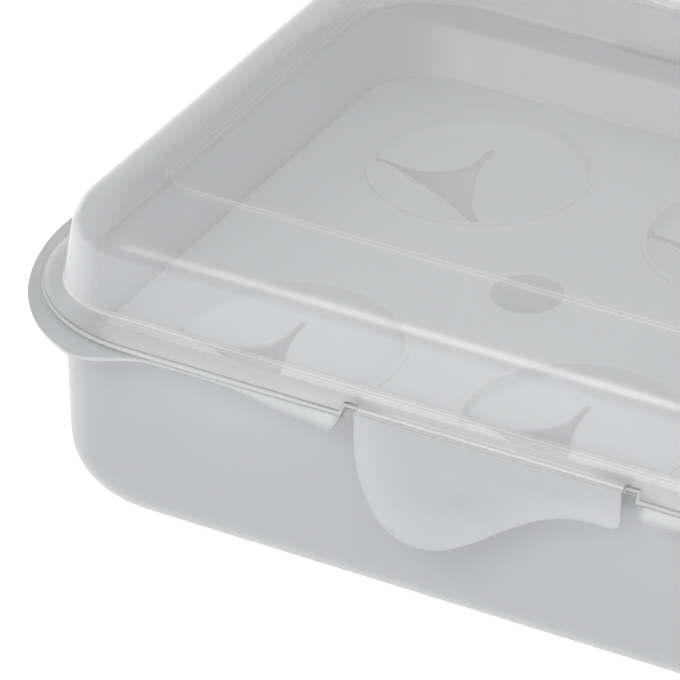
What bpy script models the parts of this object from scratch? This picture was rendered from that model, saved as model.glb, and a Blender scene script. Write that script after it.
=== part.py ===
"""Egg storage box: a drafted tub, a domed lid on a rear film hinge, a lobed clasp and a lift-out tray.

Lengths are in metres. +X runs along the box, -Y is the clasp side, +Z is up, and the origin is the middle
of the tub's flat underside.
"""

import math

import bmesh
import bpy
from mathutils import Matrix, Vector

# Body at the foot line of the lid's dome, and the egg grid inside it
BODY_LENGTH = 0.1910
BODY_DEPTH = 0.1360
CUP_COLUMN_COUNT = 3
CUP_ROW_COUNT = 2
PILLAR_COLUMN_COUNT = CUP_COLUMN_COUNT - 1
PILLAR_ROW_COUNT = CUP_ROW_COUNT - 1
CUP_TO_END = 0.0360
CUP_TO_FRONT = 0.0310
HALF_LENGTH = BODY_LENGTH / 2
HALF_DEPTH = BODY_DEPTH / 2
CUP_PITCH_X = (BODY_LENGTH - CUP_TO_END * 2) / (CUP_COLUMN_COUNT - 1)
CUP_PITCH_Y = (BODY_DEPTH - CUP_TO_FRONT * 2) / (CUP_ROW_COUNT - 1)

# Mouldings: wall thickness and the height of the foot line of the lid's dome
WALL = 0.0009
RIM_HEIGHT = 0.0468
BODY_CORNER = 0.0160
CORNER_STEPS = 9
FILLET_STEPS = 5
OUTLINE_STEPS = 5

# Tub
TUB_DRAFT = 0.0008
TUB_BOTTOM_RADIUS = 0.0141
TUB_FLOOR_CORNER = 0.0085
TUB_HEEL_CORNER = 0.0150
CREST_DROP = 0.0010

# Lid flange and the tub flange beneath it
LID_FLANGE_FRONT = 0.0035
LID_FLANGE_END = 0.0073
LID_FLANGE_DROP = 0.0029
LID_FLANGE_CORNER = 0.0280
FLANGE_STACK = 0.00148
TUB_FLANGE_FRONT = 0.00375
TUB_FLANGE_FRONT_DROP = 0.0046
TUB_FLANGE_END = 0.0125
TUB_FLANGE_END_DROP = 0.0054
TUB_FLANGE_CORNER = 0.0360
EAR_BULGE = 0.0050
EAR_INNER_TO_END = 0.0255
EAR_OUTER_TO_END = 0.0115
EAR_INNER_X = HALF_LENGTH - EAR_INNER_TO_END
EAR_OUTER_X = HALF_LENGTH - EAR_OUTER_TO_END

# Raised lips of the tub flange beside the clasp, each along a share of the run from notch to corner
LIP_OUTSET = 0.0054
LIP_DROP = 0.0069
LIP_RUN_SHARE = 0.648
LIP_END_ROUND = 0.0022
LIP_END_SHARES = (0.0, 0.15, 0.45, 1.0)
LIP_STEPS = 5

# Lid dome
DOME_DRAFT = 0.0011
DOME_EDGE_HEIGHT = 0.0142
DOME_EDGE_RADIUS = 0.0055
DOME_CORNER = 0.0180
PANEL_INSET = 0.0160
PANEL_FOOT_HEIGHT = 0.0196
PANEL_HEIGHT = 0.0204
PANEL_STEP = 0.0005
PANEL_CORNER = 0.0075

# Clasp
CLASP_HALF_WIDTH = 0.0265
CLASP_SLOT = 0.0029
CLASP_NOTCH_OUTSET = 0.0020
CLASP_FACE_OUTSET = 0.0031
CLASP_TOP_DROP = 0.0025
CLASP_AXIS_OUTSET = 0.0030
CLASP_AXIS_DROP = 0.0025
CLASP_SIDE_DROP = 0.0083
CLASP_LOBE_X = -0.0135
CLASP_LOBE_DROP = 0.0262
CLASP_TAIL_X = 0.0205
CLASP_TAIL_DROP = 0.0105
CLASP_CORNER = 0.0022
CATCH_DROP = 0.0066
CATCH_HEIGHT = 0.0012
CATCH_REACH = 0.0006
CATCH_HALF_WIDTH = 0.0190
CLASP_EDGE_OUTSET = 0.00285
RELIEF_OUTSET = 0.0021
CLASP_FLARE = 0.0008
CLASP_FLARE_DROP = 0.0140
CLASP_FLARE_STEPS = 4

# Rear film hinge
HINGE_OUTSET = 0.0055
HINGE_GAP = 0.00015
HINGE_X = 0.0320
HINGE_HALF_WIDTH = 0.0160
HINGE_LEAF = 0.00075
HINGE_LID_DROP = 0.0027
HINGE_TUB_DROP = 0.0043

# Egg tray
TRAY_DROP = 0.0165
TRAY_PLAY = 0.0005
TRAY_EDGE_RADIUS = 0.0015
TRAY_SKIRT = 0.0060
CUP_RADIUS = 0.0222
CUP_LIP = 0.0005
CUP_COLLAR = 0.0014
CUP_FILLET = 0.0022
CUP_SAG = 0.0032
CUP_STEPS = 28
CUP_FILLET_STEPS = 2
STAR_LEFT_ARM = 0.0142
STAR_REAR_ARM = 0.0135
STAR_FRONT_ARM = 0.0245
STAR_WAIST = 0.0036
STAR_TIP_WIDTH = 0.0012
STAR_CENTRE_X = -0.0063
STAR_CENTRE_Y = -0.0005
PILLAR_TOP_RADIUS = 0.0080
PILLAR_FOOT_RADIUS = 0.0058
PILLAR_STEPS = 16
FOOT_GAP = 0.0003

OVERRUN = 0.0020

MILKY = (0.76, 0.77, 0.79, 1.0)


def clear_scene():
    for obj in list(bpy.data.objects):
        bpy.data.objects.remove(obj)


def collection(name):
    group = bpy.data.collections.new(name)
    bpy.context.scene.collection.children.link(group)
    return group


def plastic(name, roughness):
    material = bpy.data.materials.new(name)
    material.use_nodes = True
    shader = material.node_tree.nodes["Principled BSDF"]
    shader.inputs["Base Color"].default_value = MILKY
    shader.inputs["Roughness"].default_value = roughness
    shader.inputs["Metallic"].default_value = 0.0
    return material


def mesh_object(name, bm, group):
    mesh = bpy.data.meshes.new(name)
    bm.to_mesh(mesh)
    bm.free()
    obj = bpy.data.objects.new(name, mesh)
    group.objects.link(obj)
    return obj


def make_cutter(obj):
    obj.hide_render = True
    obj.display_type = "WIRE"
    return obj


def smooth_share(value, start, end):
    """0 at start, 1 at end, with an easy curve between."""
    share = min(max((value - start) / (end - start), 0.0), 1.0)
    return share * share * (3 - 2 * share)


def rounded(sections, radii):
    """The profile with each inner corner turned into a circular arc of its radius. 0 keeps it sharp.

    A section is (outset at the ends, outset at front and back, height, plan corner radius).
    """
    points = [Vector(section) for section in sections]
    out = [points[0]]
    for before, corner, after, radius in zip(points, points[1:], points[2:], radii):
        if radius == 0:
            out.append(corner)
            continue
        into = Vector((before[1] - corner[1], before[2] - corner[2]))
        away = Vector((after[1] - corner[1], after[2] - corner[2]))
        half_turn = (math.pi - into.angle(away)) / 2
        reach = radius * math.tan(half_turn)
        start = corner.lerp(before, reach / into.length)
        end = corner.lerp(after, reach / away.length)
        weight = math.cos(half_turn)
        for step in range(FILLET_STEPS + 1):
            t = step / FILLET_STEPS
            shares = ((1 - t) ** 2, 2 * t * (1 - t) * weight, t ** 2)
            mixed = start * shares[0] + corner * shares[1] + end * shares[2]
            out.append(mixed / sum(shares))
    out.append(points[-1])
    return out


def plan_ring(section, side_shares):
    """Points of a rounded rectangle, anticlockwise from the front left, at the section's height.

    The side shares place points along the straight run of the front, and of the back.
    """
    out_x, out_y, height, radius = section
    half_x = HALF_LENGTH + out_x
    half_y = HALF_DEPTH + out_y
    centre_x = half_x - radius
    centre_y = half_y - radius
    ring = [Vector((share * centre_x, -half_y, height)) for share in side_shares]
    for quarter in range(4):
        if quarter == 2:
            ring += [Vector((-share * centre_x, half_y, height)) for share in side_shares]
        sign_x = (1, 1, -1, -1)[quarter]
        sign_y = (-1, 1, 1, -1)[quarter]
        for step in range(CORNER_STEPS + 1):
            angle = math.pi / 2 * (quarter - 1 + step / CORNER_STEPS)
            x = sign_x * centre_x + radius * math.cos(angle)
            y = sign_y * centre_y + radius * math.sin(angle)
            ring.append(Vector((x, y, height)))
    return ring


def skin(rings):
    """An open surface through the rings, closed by a flat face over the last one, facing up."""
    bm = bmesh.new()
    station = bm.verts.layers.int.new("station")
    verts = [bm.verts.new(point) for point in rings[0]]
    for index, vert in enumerate(verts):
        vert[station] = index
    edges = [bm.edges.new((a, b)) for a, b in zip(verts, verts[1:] + verts[:1])]
    for ring in rings[1:]:
        made = bmesh.ops.extrude_edge_only(bm, edges=edges)["geom"]
        fresh = {item for item in made if isinstance(item, bmesh.types.BMVert)}
        for vert in fresh:
            vert.co = ring[vert[station]]
        edges = [e for e in made if isinstance(e, bmesh.types.BMEdge) and set(e.verts) <= fresh]
    cap = bmesh.ops.contextual_create(bm, geom=edges)["faces"][0]
    bmesh.ops.recalc_face_normals(bm, faces=bm.faces)
    if cap.normal.z < 0:
        bmesh.ops.reverse_faces(bm, faces=bm.faces)
    return bm


def shell(name, rings, group, material):
    """A moulded wall under the surface through the rings."""
    obj = mesh_object(name, skin(rings), group)
    obj.data.materials.append(material)
    wall = obj.modifiers.new("wall", "SOLIDIFY")
    wall.thickness = WALL
    wall.offset = -1
    wall.use_even_offset = True
    return obj


def shade_round(obj):
    obj.data.shade_smooth()
    obj.data.set_sharp_from_angle(angle=math.radians(40))


def add_boolean(obj, operation, other):
    boolean = obj.modifiers.new(operation.lower(), "BOOLEAN")
    boolean.operation = operation
    boolean.object = other
    boolean.solver = "MANIFOLD"


def block(bm, low, high):
    """A box between two corners, added to the mesh."""
    size = Vector(high) - Vector(low)
    middle = (Vector(high) + Vector(low)) / 2
    made = bmesh.ops.create_cube(bm, size=1, matrix=Matrix.Translation(middle) @ Matrix.Diagonal((*size, 1)))
    return made["verts"]


def block_object(name, boxes, group):
    bm = bmesh.new()
    for low, high in boxes:
        block(bm, low, high)
    return make_cutter(mesh_object(name, bm, group))


def lip_span():
    """Where each lip ends beside the clasp, where it fades out, and where the flange's corner starts."""
    lip_end = CLASP_HALF_WIDTH + CLASP_SLOT
    corner_start = HALF_LENGTH + TUB_FLANGE_END - TUB_FLANGE_CORNER
    return lip_end, lip_end + (corner_start - lip_end) * LIP_RUN_SHARE, corner_start


def lip_profile(x):
    """Outset and drop of the tub flange's front edge at a place along the front."""
    lip_end, lip_far, _ = lip_span()
    reach = abs(x)
    lip = smooth_share(reach, lip_far, lip_end)
    into_end = max(lip_end + LIP_END_ROUND - reach, 0.0)
    trim = LIP_END_ROUND - math.sqrt(max(LIP_END_ROUND ** 2 - min(into_end, LIP_END_ROUND) ** 2, 0.0))
    outset = TUB_FLANGE_FRONT + (LIP_OUTSET - TUB_FLANGE_FRONT) * lip
    drop = TUB_FLANGE_FRONT_DROP + (LIP_DROP - TUB_FLANGE_FRONT_DROP) * lip
    trim_share = trim / LIP_END_ROUND * (outset - TUB_FLANGE_FRONT) / outset
    return outset - trim_share * outset, drop - trim_share * (drop - TUB_FLANGE_FRONT_DROP)


def tub_edge_ring(side_shares):
    """The free edge of the tub's flange: wide at the ends, with corner ears and clasp lips at the front."""
    section = (TUB_FLANGE_END, TUB_FLANGE_FRONT, 0.0, TUB_FLANGE_CORNER)
    ring = plan_ring(section, side_shares)
    side_y = HALF_DEPTH + TUB_FLANGE_FRONT
    turn_y = side_y - TUB_FLANGE_CORNER
    for index, point in enumerate(ring):
        end_share = smooth_share(side_y - abs(point.y), 0.0, side_y - turn_y)
        drop = TUB_FLANGE_FRONT_DROP + (TUB_FLANGE_END_DROP - TUB_FLANGE_FRONT_DROP) * end_share
        if index < len(side_shares):
            outset, drop = lip_profile(point.x)
            point.y = -(HALF_DEPTH + outset)
        if point.y < 0:
            ear = smooth_share(abs(point.x), EAR_INNER_X, EAR_OUTER_X) * (1 - end_share)
            point.y -= EAR_BULGE * ear
            drop += (TUB_FLANGE_END_DROP - TUB_FLANGE_FRONT_DROP) * ear
        point.z = RIM_HEIGHT - drop
    return ring


def front_stations():
    """Shares of the front's straight run where the tub's rings have points: dense round the lips."""
    lip_end, lip_far, straight = lip_span()
    half = [lip_end + LIP_END_ROUND * share for share in LIP_END_SHARES]
    reach = lip_far - lip_end - LIP_END_ROUND
    half += [lip_end + LIP_END_ROUND + reach * step / LIP_STEPS for step in range(1, LIP_STEPS + 1)]
    return [-x / straight for x in reversed(half)] + [x / straight for x in half]


def make_tub(group, cutters, material):
    shares = front_stations()
    heel = -WALL - TUB_DRAFT
    floor = WALL
    sections = [
        (LID_FLANGE_END, LID_FLANGE_FRONT, RIM_HEIGHT - LID_FLANGE_DROP - FLANGE_STACK, LID_FLANGE_CORNER),
        (-WALL, -WALL, RIM_HEIGHT - CREST_DROP, BODY_CORNER - WALL),
        (heel, heel, floor, TUB_HEEL_CORNER),
        (heel - TUB_BOTTOM_RADIUS, heel - TUB_BOTTOM_RADIUS, floor, TUB_FLOOR_CORNER),
    ]
    rings = [plan_ring(section, shares) for section in rounded(sections, (0, TUB_BOTTOM_RADIUS))]
    tub = shell("base_tub", [tub_edge_ring(shares)] + rings, group, material)
    add_boolean(tub, "DIFFERENCE", clasp_notch(cutters))
    add_boolean(tub, "UNION", hinge_leaves("tub_hinge_leaves", HINGE_TUB_DROP, TUB_FLANGE_FRONT, cutters))
    shade_round(tub)
    return tub


def clasp_notch(cutters):
    """The gap in the tub's front flange that the clasp hangs in."""
    half = CLASP_HALF_WIDTH + CLASP_SLOT
    low = (-half, -(HALF_DEPTH + LIP_OUTSET + OVERRUN), RIM_HEIGHT - LIP_DROP - OVERRUN)
    high = (half, -(HALF_DEPTH + CLASP_NOTCH_OUTSET), RIM_HEIGHT)
    return block_object("clasp_notch", [(low, high)], cutters)


def hinge_leaves(name, drop, flange_outset, cutters):
    """The two leaves that carry one side of the film hinge at the back."""
    inner = HALF_DEPTH + flange_outset - HINGE_LEAF
    outer = HALF_DEPTH + HINGE_OUTSET - HINGE_GAP
    top = RIM_HEIGHT - drop
    boxes = []
    for side in (-1, 1):
        low = (side * HINGE_X - HINGE_HALF_WIDTH, inner, top - HINGE_LEAF)
        high = (side * HINGE_X + HINGE_HALF_WIDTH, outer, top)
        boxes.append((low, high))
    return block_object(name, boxes, cutters)


def lid_sections():
    """The lid's outer profile from the flange's edge over the dome to the raised panel."""
    step_in = -PANEL_INSET - PANEL_STEP
    return [
        (LID_FLANGE_END, LID_FLANGE_FRONT, RIM_HEIGHT - LID_FLANGE_DROP, LID_FLANGE_CORNER),
        (0.0, 0.0, RIM_HEIGHT, BODY_CORNER),
        (-DOME_DRAFT, -DOME_DRAFT, RIM_HEIGHT + DOME_EDGE_HEIGHT, DOME_CORNER),
        (-PANEL_INSET, -PANEL_INSET, RIM_HEIGHT + PANEL_FOOT_HEIGHT, PANEL_CORNER),
        (step_in, step_in, RIM_HEIGHT + PANEL_HEIGHT, PANEL_CORNER - PANEL_STEP),
    ]


def make_lid(group, cutters, material):
    profile = rounded(lid_sections(), (0, DOME_EDGE_RADIUS, 0))
    lid = shell("lid", [plan_ring(section, (0.0,)) for section in profile], group, material)
    add_boolean(lid, "DIFFERENCE", clasp_seat(cutters))
    add_boolean(lid, "UNION", hinge_leaves("lid_hinge_leaves", HINGE_LID_DROP, LID_FLANGE_FRONT, cutters))
    shade_round(lid)
    return lid


def clasp_seat(cutters):
    """The lid's edge cut back along the clasp's film hinge, with a deeper notch at each end."""
    outer = -(HALF_DEPTH + LID_FLANGE_FRONT + OVERRUN)
    low_z = RIM_HEIGHT - LID_FLANGE_DROP - OVERRUN
    slot = CLASP_HALF_WIDTH + CLASP_SLOT
    bm = bmesh.new()
    block(bm, (-slot, outer, low_z), (slot, -(HALF_DEPTH + CLASP_EDGE_OUTSET), RIM_HEIGHT))
    seat = make_cutter(mesh_object("clasp_seat", bm, cutters))
    boxes = []
    for side in (-1, 1):
        ends = sorted((side * CLASP_HALF_WIDTH, side * slot))
        boxes.append(((ends[0], outer, low_z), (ends[1], -(HALF_DEPTH + RELIEF_OUTSET), RIM_HEIGHT)))
    add_boolean(seat, "UNION", block_object("relief_notches", boxes, cutters))
    return seat


def bezier_prism(name, knots, depth, group):
    """A closed outline of (point, handle before, handle after) knots in XY, drawn out upwards to a depth."""
    curve = bpy.data.curves.new(name, "CURVE")
    curve.dimensions = "2D"
    curve.fill_mode = "NONE"
    curve.resolution_u = OUTLINE_STEPS
    spline = curve.splines.new("BEZIER")
    spline.bezier_points.add(len(knots) - 1)
    spline.use_cyclic_u = True
    for knot, (point, before, after) in zip(spline.bezier_points, knots):
        knot.co = (*point, 0)
        knot.handle_left = (*before, 0)
        knot.handle_right = (*after, 0)
    guide = bpy.data.objects.new(name + "_guide", curve)
    bpy.context.scene.collection.objects.link(guide)
    graph = bpy.context.evaluated_depsgraph_get()
    mesh = bpy.data.meshes.new_from_object(guide.evaluated_get(graph))
    bpy.data.objects.remove(guide)
    bm = bmesh.new()
    bm.from_mesh(mesh)
    bpy.data.meshes.remove(mesh)
    bmesh.ops.remove_doubles(bm, verts=bm.verts, dist=WALL / 50)
    bmesh.ops.contextual_create(bm, geom=bm.edges)
    made = bmesh.ops.extrude_face_region(bm, geom=bm.faces)["geom"]
    lifted = [item for item in made if isinstance(item, bmesh.types.BMVert)]
    bmesh.ops.translate(bm, verts=lifted, vec=(0, 0, depth))
    bmesh.ops.recalc_face_normals(bm, faces=bm.faces)
    return mesh_object(name, bm, group)


def clasp_knots():
    """The clasp's outline from the front: a deep round lobe on the left, a short tail on the right."""
    half = CLASP_HALF_WIDTH
    top = -CLASP_TOP_DROP
    side = -CLASP_SIDE_DROP
    tail = -CLASP_TAIL_DROP
    lobe = -CLASP_LOBE_DROP
    lobe_left = (CLASP_LOBE_X + half) * 0.8
    lobe_right = (CLASP_TAIL_X - CLASP_LOBE_X) * 0.33
    tail_left = (CLASP_TAIL_X - CLASP_LOBE_X) * 0.39
    corner = half - CLASP_CORNER
    return [
        ((half, top), (half, top), (half, top)),
        ((-half, top), (-half, top), (-half, top)),
        ((-half, side), (-half, side), (-half, side + (lobe - side) * 0.33)),
        ((CLASP_LOBE_X, lobe), (CLASP_LOBE_X - lobe_left, lobe), (CLASP_LOBE_X + lobe_right, lobe)),
        ((CLASP_TAIL_X, tail), (CLASP_TAIL_X - tail_left, tail), (CLASP_TAIL_X, tail)),
        ((corner, tail), (corner, tail), (corner + CLASP_CORNER * 0.55, tail)),
        ((half, tail + CLASP_CORNER), (half, tail + CLASP_CORNER * 0.45), (half, tail + CLASP_CORNER)),
    ]


def flare_lobe(mesh):
    """Curves the flat flap's lobe outwards below the flare height, as a grip for the thumb."""
    bm = bmesh.new()
    bm.from_mesh(mesh)
    reach = CLASP_LOBE_DROP - CLASP_FLARE_DROP
    for cut in range(CLASP_FLARE_STEPS):
        height = -CLASP_FLARE_DROP - reach * cut / CLASP_FLARE_STEPS
        geometry = list(bm.verts) + list(bm.edges) + list(bm.faces)
        bmesh.ops.bisect_plane(bm, geom=geometry, dist=WALL / 50, plane_co=(0, height, 0), plane_no=(0, 1, 0))
    for vert in bm.verts:
        share = max(-vert.co.y - CLASP_FLARE_DROP, 0.0) / reach
        vert.co.z += CLASP_FLARE * share * share
    bm.to_mesh(mesh)
    bm.free()


def make_clasp(group, cutters, material):
    """The flap hangs from the lid's front edge. Its origin is on the film hinge's axis."""
    clasp = bezier_prism("front_clasp", clasp_knots(), WALL, group)
    flare_lobe(clasp.data)
    face_y = -(HALF_DEPTH + CLASP_FACE_OUTSET)
    axis = Vector((0, -(HALF_DEPTH + CLASP_AXIS_OUTSET), RIM_HEIGHT - CLASP_AXIS_DROP))
    place = Matrix.Translation((0, face_y, RIM_HEIGHT)) @ Matrix.Rotation(math.pi / 2, 4, "X")
    clasp.data.transform(Matrix.Translation(-axis) @ place)
    clasp.location = axis
    clasp.data.materials.append(material)
    inner = -(HALF_DEPTH + CLASP_FACE_OUTSET - CATCH_REACH)
    outer = -(HALF_DEPTH + CLASP_FACE_OUTSET + WALL / 2)
    low = (-CATCH_HALF_WIDTH, outer, RIM_HEIGHT - CATCH_DROP - CATCH_HEIGHT)
    high = (CATCH_HALF_WIDTH, inner, RIM_HEIGHT - CATCH_DROP)
    add_boolean(clasp, "UNION", block_object("catch_rib", [(low, high)], cutters))
    shade_round(clasp)
    return clasp


def turned(name, profile, steps, group):
    """A solid turned about Z from a profile of (radius, height) points."""
    bm = bmesh.new()
    verts = [bm.verts.new((radius, 0, height)) for radius, height in profile]
    for a, b in zip(verts, verts[1:]):
        bm.edges.new((a, b))
    obj = mesh_object(name, bm, group)
    screw = obj.modifiers.new("turn", "SCREW")
    screw.steps = steps
    screw.render_steps = steps
    screw.use_merge_vertices = True
    screw.merge_threshold = 0.0001
    return obj


def cup_profile(inset, top):
    """A collar, a round turn inwards and a shallow sagging floor, inset by a wall thickness or by none."""
    radius = CUP_RADIUS - inset
    fillet = CUP_FILLET - inset
    profile = [(0.0, top), (radius, top), (radius, -CUP_COLLAR)]
    for step in range(1, CUP_FILLET_STEPS + 1):
        angle = math.pi / 2 * step / CUP_FILLET_STEPS
        profile.append((radius - fillet * (1 - math.cos(angle)), -CUP_COLLAR - fillet * math.sin(angle)))
    profile.append((0.0, -CUP_COLLAR - fillet - CUP_SAG))
    return profile


def pillar_profile(inset, top):
    """A tapered hollow pillar that stands just over the tub's floor."""
    foot = RIM_HEIGHT - TRAY_DROP - WALL - FOOT_GAP - inset
    return [(0.0, top), (PILLAR_TOP_RADIUS - inset, top), (PILLAR_FOOT_RADIUS - inset, -foot), (0.0, -foot)]


def grid(columns, rows):
    """Centres of a grid with the cup pitch, centred on the box."""
    first_x = -CUP_PITCH_X * (columns - 1) / 2
    first_y = -CUP_PITCH_Y * (rows - 1) / 2
    across = [first_x + CUP_PITCH_X * column for column in range(columns)]
    back = [first_y + CUP_PITCH_Y * row for row in range(rows)]
    return [(x, y) for y in back for x in across]


def star_knots():
    """A three-armed gap between three round petals, off centre as on the moulding."""
    centre = Vector((STAR_CENTRE_X, STAR_CENTRE_Y))
    arms = ((82, STAR_REAR_ARM), (189, STAR_LEFT_ARM), (315, STAR_FRONT_ARM))
    knots = []
    for (degrees, reach), (next_degrees, _) in zip(arms, arms[1:] + arms[:1]):
        angle = math.radians(degrees)
        along = Vector((math.cos(angle), math.sin(angle)))
        side = Vector((-along.y, along.x)) * STAR_TIP_WIDTH / 2
        tip = centre + along * reach
        inward = -along * reach * 0.45
        knots.append((tip - side, tip - side + inward, tip - side))
        knots.append((tip + side, tip + side, tip + side + inward))
        turn = (next_degrees - degrees) % 360
        between = math.radians(degrees + turn / 2)
        out = Vector((math.cos(between), math.sin(between)))
        waist = centre + out * STAR_WAIST
        across = Vector((-out.y, out.x)) * STAR_WAIST
        knots.append((waist, waist - across, waist + across))
    return [tuple((v.x, v.y) for v in knot) for knot in knots]


def joined(name, sources, places, group):
    """One mesh object holding a copy of an evaluated source at each of its places."""
    graph = bpy.context.evaluated_depsgraph_get()
    bm = bmesh.new()
    for source, spots in zip(sources, places):
        mesh = bpy.data.meshes.new_from_object(source.evaluated_get(graph))
        for spot in spots:
            mesh.transform(Matrix.Translation(spot))
            bm.from_mesh(mesh)
            mesh.transform(Matrix.Translation(-Vector(spot)))
        bpy.data.meshes.remove(mesh)
        bpy.data.objects.remove(source)
    bmesh.ops.remove_doubles(bm, verts=bm.verts, dist=WALL / 100)
    return make_cutter(mesh_object(name, bm, group))


def tray_rings():
    """Skirt and deck of the tray, which stands in the tub with some play at the wall."""
    deck = RIM_HEIGHT - TRAY_DROP
    wall_height = RIM_HEIGHT - CREST_DROP - WALL
    inset = WALL + TUB_DRAFT * (TRAY_DROP - CREST_DROP) / wall_height + TRAY_PLAY
    skirt_inset = inset + TUB_DRAFT * TRAY_SKIRT / wall_height
    corner = BODY_CORNER - inset
    sections = [
        (-skirt_inset, -skirt_inset, deck - TRAY_SKIRT, corner - (skirt_inset - inset)),
        (-inset, -inset, deck, corner),
        (-inset - TRAY_EDGE_RADIUS * 2, -inset - TRAY_EDGE_RADIUS * 2, deck, corner - TRAY_EDGE_RADIUS * 2),
    ]
    return [plan_ring(section, (0.0,)) for section in rounded(sections, (TRAY_EDGE_RADIUS,))]


def wells(name, inset, cup_top, pillar_top, cutters):
    """The cups and pillars as solid shapes, inset by a wall thickness or by none."""
    deck = RIM_HEIGHT - TRAY_DROP
    cup_spots = [(x, y, deck) for x, y in grid(CUP_COLUMN_COUNT, CUP_ROW_COUNT)]
    pillar_spots = [(x, y, deck) for x, y in grid(PILLAR_COLUMN_COUNT, PILLAR_ROW_COUNT)]
    cup = turned("cup", cup_profile(inset, cup_top), CUP_STEPS, cutters)
    pillar = turned("pillar", pillar_profile(inset, pillar_top), PILLAR_STEPS, cutters)
    return joined(name, (cup, pillar), (cup_spots, pillar_spots), cutters)


def petal_gaps(cutters):
    """The three-armed gap through the floor of each cup."""
    depth = CUP_FILLET + CUP_SAG + OVERRUN
    deck = RIM_HEIGHT - TRAY_DROP
    star = bezier_prism("star", star_knots(), depth, cutters)
    star.data.transform(Matrix.Translation((0, 0, -depth - CUP_COLLAR)))
    spots = [(x, y, deck) for x, y in grid(CUP_COLUMN_COUNT, CUP_ROW_COUNT)]
    return joined("petal_gaps", (star,), (spots,), cutters)


def make_tray(group, cutters, material):
    tray = shell("egg_tray", tray_rings(), group, material)
    add_boolean(tray, "UNION", wells("well_walls", 0.0, CUP_LIP, -WALL / 2, cutters))
    add_boolean(tray, "DIFFERENCE", wells("well_hollows", WALL, OVERRUN, OVERRUN, cutters))
    add_boolean(tray, "DIFFERENCE", petal_gaps(cutters))
    shade_round(tray)
    return tray


def main():
    clear_scene()
    parts = collection("egg_storage_box")
    cutters = collection("cutters")
    frosted = plastic("frosted_polypropylene", 0.42)
    make_tub(parts, cutters, frosted)
    make_lid(parts, cutters, plastic("lid_polypropylene", 0.32))
    make_clasp(parts, cutters, plastic("clasp_polypropylene", 0.34))
    make_tray(parts, cutters, plastic("tray_polypropylene", 0.45))


main()
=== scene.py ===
"""Looks of the egg storage box: a milky translucent clamshell with a front clasp and a lift-out egg tray."""

import math

import bmesh
import bpy
from mathutils import Matrix, Vector


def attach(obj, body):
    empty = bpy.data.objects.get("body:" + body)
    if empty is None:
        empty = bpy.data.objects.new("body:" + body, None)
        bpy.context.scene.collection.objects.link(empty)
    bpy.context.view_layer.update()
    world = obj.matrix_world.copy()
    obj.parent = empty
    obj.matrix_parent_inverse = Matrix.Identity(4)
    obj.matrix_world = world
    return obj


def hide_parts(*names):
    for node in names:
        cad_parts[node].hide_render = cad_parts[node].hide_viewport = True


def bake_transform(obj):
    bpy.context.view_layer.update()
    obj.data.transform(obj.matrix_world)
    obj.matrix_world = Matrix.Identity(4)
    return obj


bl_info = {
    "name": "Egg storage box",
    "version": (1, 0, 0),
    "blender": (4, 5, 0),
    "location": "3D View > Sidebar > Egg Box",
    "description": "Builds the milky shells, clasp, tray and studio of an egg storage box",
    "category": "Object",
}

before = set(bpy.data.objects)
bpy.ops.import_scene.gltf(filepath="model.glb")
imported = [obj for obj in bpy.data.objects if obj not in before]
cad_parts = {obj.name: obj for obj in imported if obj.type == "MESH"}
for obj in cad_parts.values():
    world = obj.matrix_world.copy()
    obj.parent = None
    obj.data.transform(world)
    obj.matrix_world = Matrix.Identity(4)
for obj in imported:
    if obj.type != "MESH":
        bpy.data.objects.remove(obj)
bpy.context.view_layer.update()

CORNER_STEPS = 22
CUP_STEPS = 72
PILLAR_STEPS = 40
FILM_STEPS = 24
LOBE_CUTS = 10
# Points along the front edges, counted from the middle, and along a lip's end as shares of its radius.
LID_POINTS = (0.006, 0.018, 0.042, 0.056)
TUB_POINTS = (0.008, 0.020)
LIP_SHARES = (0.0, 0.03, 0.1, 0.22, 0.4, 0.65, 1.0)
# How far the shapes that cut the tray reach past it.
CUT_OVER = 0.002
# Corners of the small rib in the clasp's lobe, in X and Z, as shares of its size.
GUSSET_CORNERS = ((0.5, 1.0), (0.6, -0.1), (-0.4, 0.3))
EDGE_ANGLE = math.radians(50)
SHARP_ANGLE = math.radians(42)
CLOUD_SCALE = 28.0
CLOUD_DARK = 0.965
CLOUD_GLOSS = (0.9, 1.12)
GRAIN_SCALE = 900.0
GRAIN_DEPTH = 0.0001
PLASTIC_IOR = 1.49
# Strength of the room's light from the left and from the right.
ROOM_LEFT = 0.42
ROOM_RIGHT = 1.04
# The camera's place, with its height counted from the rim, and its turn in degrees.
CAMERA_LENS = 352.4
CAMERA_PLACE = (0.4579, -0.9398, 0.6185)
CAMERA_TURN = (58.638, 0.0, 29.301)


def length(name, default, description):
    return bpy.props.FloatProperty(
        name=name, description=description, default=default, min=0.0, unit="LENGTH", subtype="DISTANCE"
    )


def colour(name, default, description):
    return bpy.props.FloatVectorProperty(
        name=name, description=description, default=default, size=3, min=0.0, max=1.0, subtype="COLOR"
    )


def factor(name, default, description):
    return bpy.props.FloatProperty(
        name=name, description=description, default=default, min=0.0, max=1.0, subtype="FACTOR"
    )


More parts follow.
